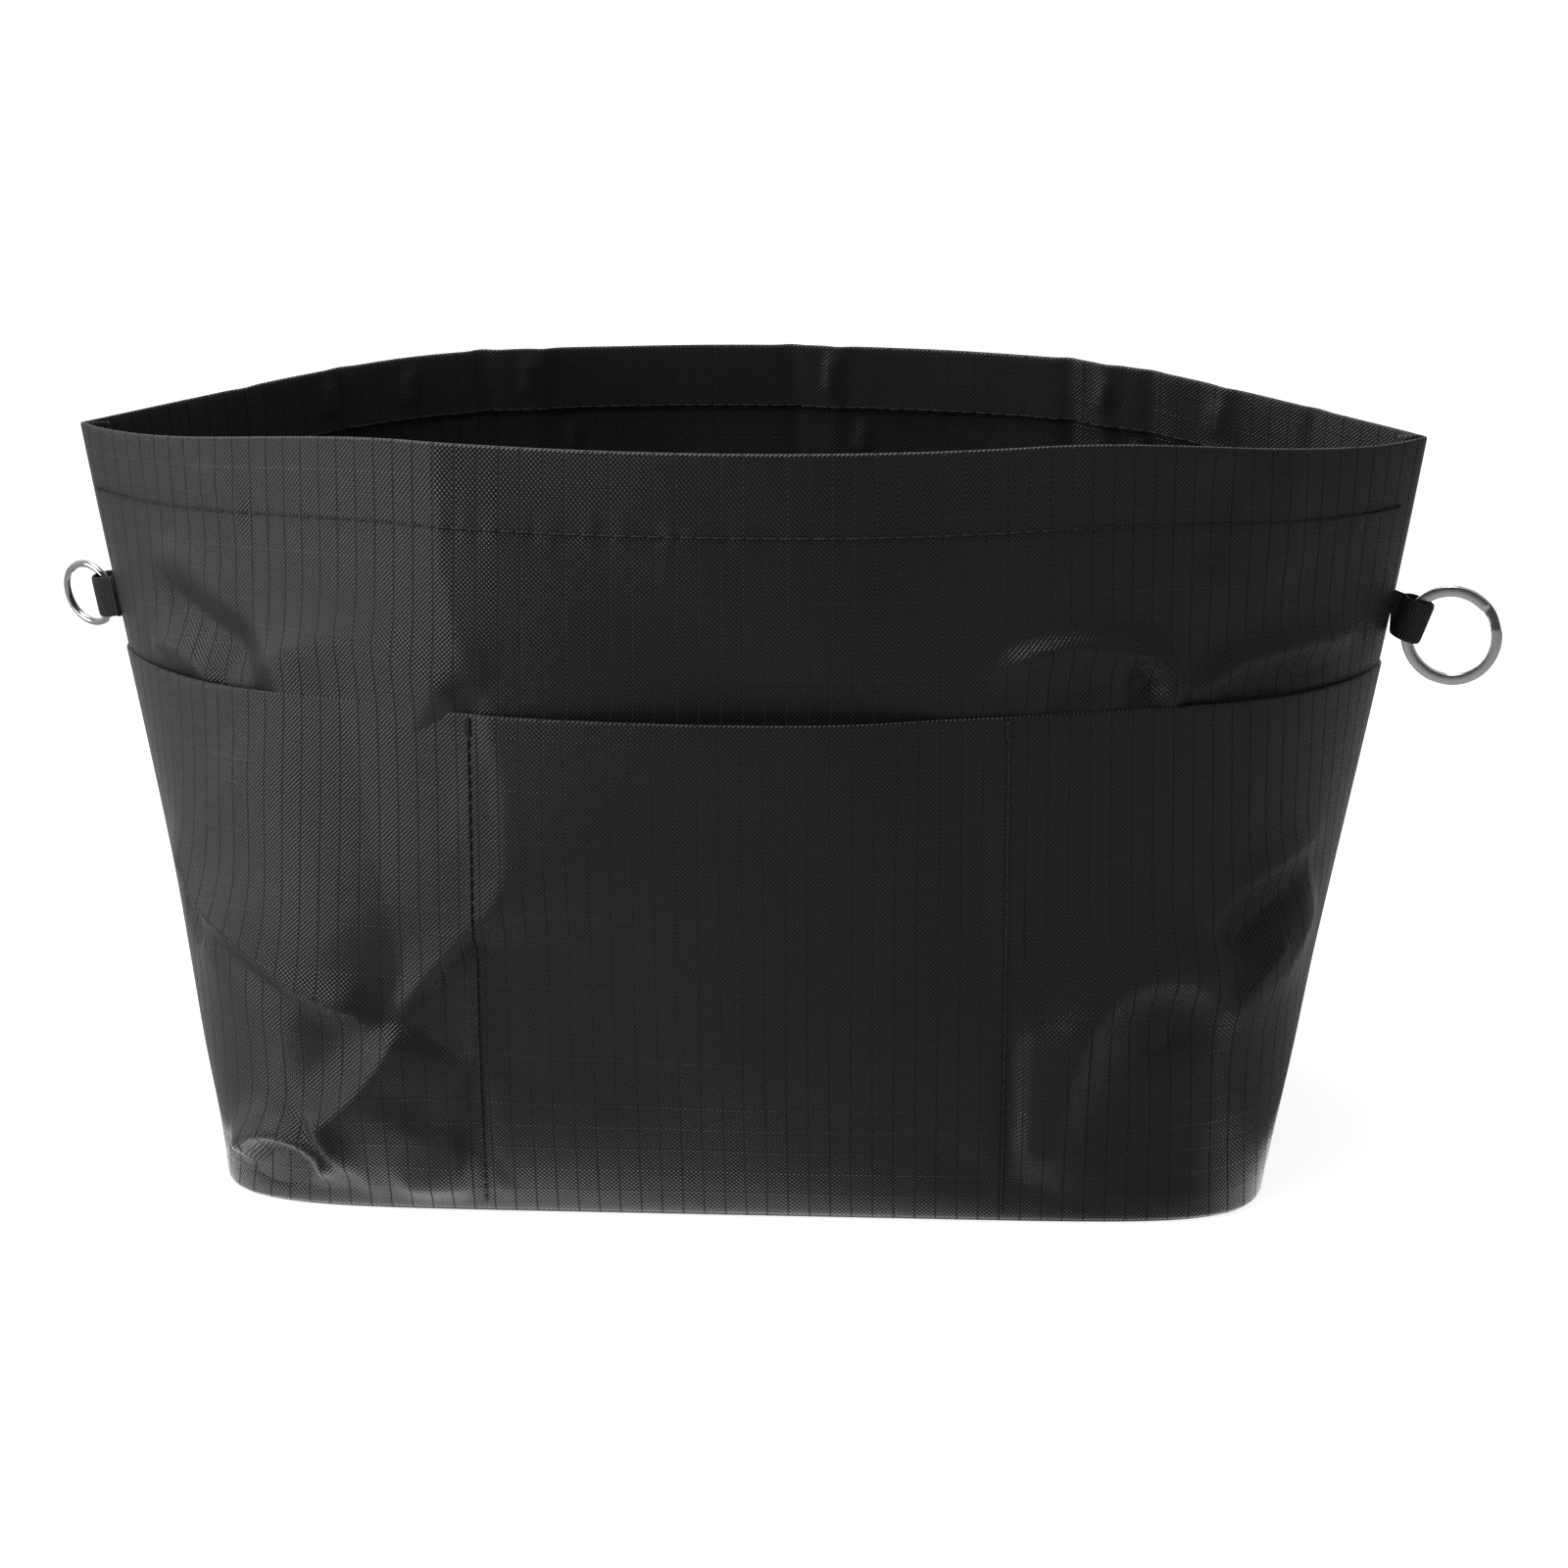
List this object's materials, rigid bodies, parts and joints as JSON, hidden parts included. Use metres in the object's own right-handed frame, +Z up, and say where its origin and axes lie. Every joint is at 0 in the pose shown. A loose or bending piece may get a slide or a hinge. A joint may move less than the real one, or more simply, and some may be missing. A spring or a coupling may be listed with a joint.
{
  "type": "purse organizer insert",
  "caption": "Free-standing cloth insert with a boxed base, wide open mouth, pockets outside and inside, and a webbing tab with a ring on each side seam.",
  "frame": {"origin": "centre of the underside of the base, on the surface that the insert stands on", "axes": "+X along the mouth towards the split ring, +Y from the front to the back, +Z up through the mouth"},
  "size_m": [0.2911, 0.136, 0.153],
  "materials": {
    "ripstop": "black coated ripstop nylon, semi-gloss",
    "thread": "black sewing thread",
    "lining": "black coated nylon",
    "tape": "black binding tape",
    "webbing": "black ribbed webbing",
    "board": "dark grey stiff sheet",
    "polished_ring": "polished plated steel",
    "satin_ring": "satin steel"
  },
  "bodies": {
    "bag": {"front_panel": "ripstop", "front_outer_pocket": "ripstop", "front_inner_pocket": "ripstop", "back_panel": "ripstop", "back_outer_pocket": "ripstop", "back_inner_pocket": "ripstop", "front_hem_thread": "thread", "front_left_divider_thread": "thread", "front_right_divider_thread": "thread", "front_inner_divider_thread": "thread", "back_hem_thread": "thread", "back_left_divider_thread": "thread", "back_right_divider_thread": "thread", "back_inner_divider_thread": "thread", "base_panel": "ripstop", "base_board": "board", "base_lining": "lining", "left_seam_binding": "tape", "right_seam_binding": "tape"},
    "left_tab": {"left_tab": "webbing"},
    "left_ring": {"left_o_ring": "polished_ring"},
    "right_tab": {"right_tab": "webbing"},
    "right_ring": {"right_split_ring": "satin_ring"}
  },
  "joints": [
    {"name": "left_tab_flex", "type": "hinge", "parent": "bag", "child": "left_tab", "pos_m": [-0.12894, 0, 0.11085], "axis": [-0.1609, 0, 0.987], "range_deg": [-2, 118]},
    {"name": "left_ring_swing", "type": "hinge", "parent": "left_tab", "child": "left_ring", "pos_m": [-0.13046, 0.00246, 0.11061], "axis": [-0.1609, 0, 0.987], "range_deg": [-66, 14]},
    {"name": "right_tab_flex", "type": "hinge", "parent": "bag", "child": "right_tab", "pos_m": [0.12966, 0, 0.11074], "axis": [-0.3298, 0, -0.944], "range_deg": [-50, 30]},
    {"name": "right_ring_swing", "type": "hinge", "parent": "right_tab", "child": "right_ring", "pos_m": [0.13236, -0.0005, 0.1098], "axis": [-0.3298, 0, -0.944], "range_deg": [-45, 35]}
  ]
}
